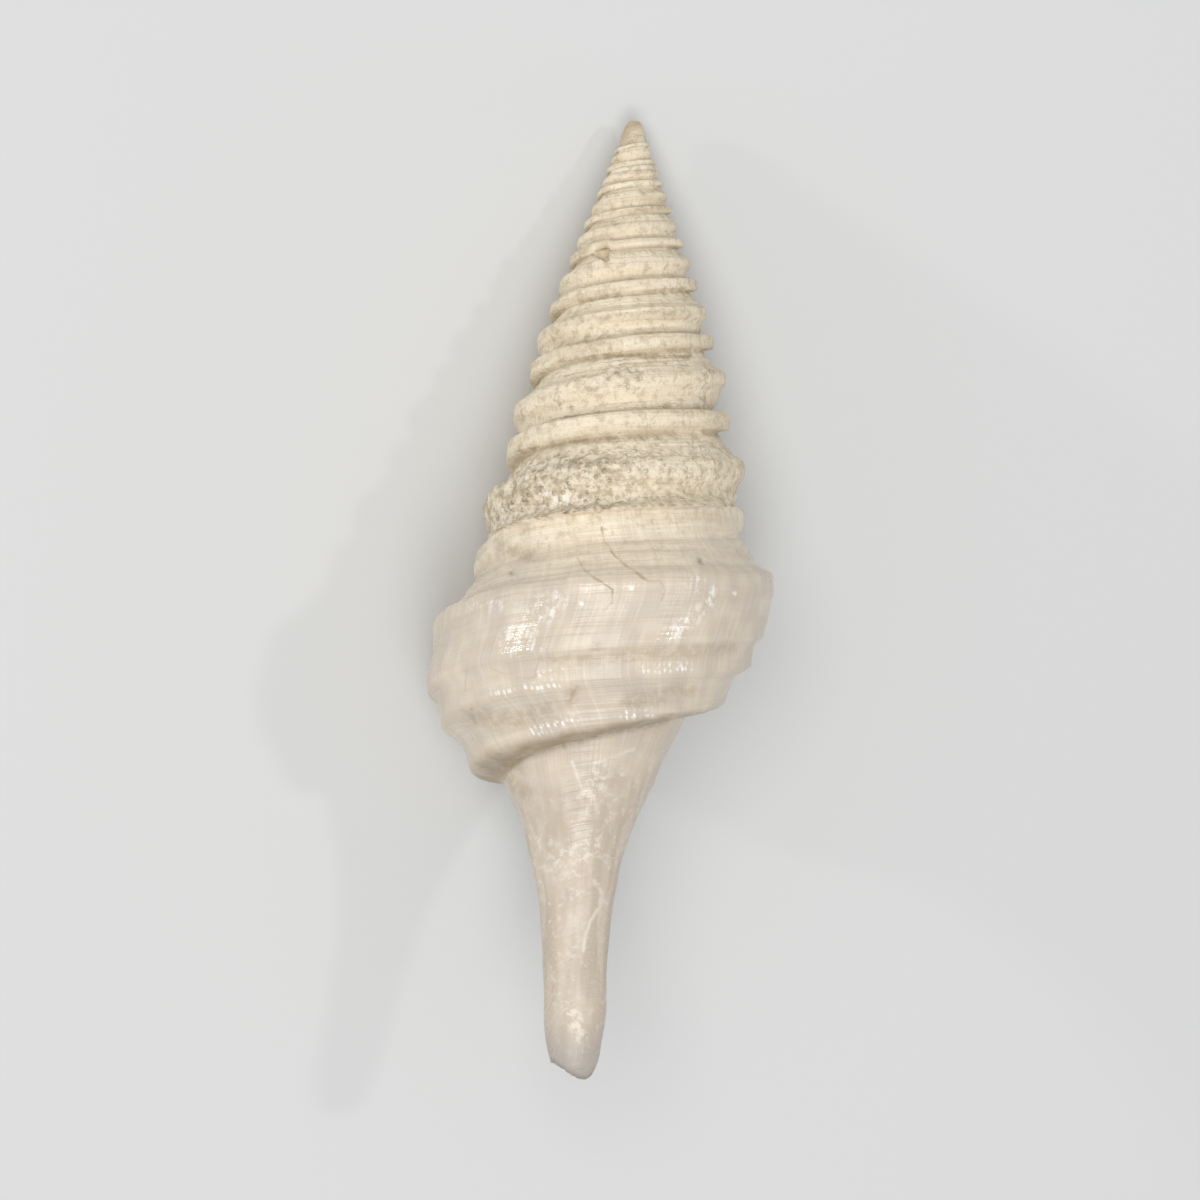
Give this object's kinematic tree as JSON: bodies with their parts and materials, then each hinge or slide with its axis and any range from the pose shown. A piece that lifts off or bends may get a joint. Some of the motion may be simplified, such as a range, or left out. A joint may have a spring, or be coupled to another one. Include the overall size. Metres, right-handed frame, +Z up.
{
  "type": "turrid seashell",
  "caption": "Slender spindle-shaped seashell with stepped, keeled whorls, a tall pointed spire and a long straight canal, lying on its aperture with its back up.",
  "frame": {"origin": "middle of the bounding box's base, on the surface that the shell lies on", "axes": "+Z up from that surface, the shell's back facing it; +Y along the shell towards the tip of the spire; +X to the right, seen from above with the spire pointing away"},
  "size_m": [0.0174, 0.0486, 0.0167],
  "materials": {
    "shell": "satin"
  },
  "bodies": {
    "root": {"shell": "shell"}
  },
  "joints": []
}
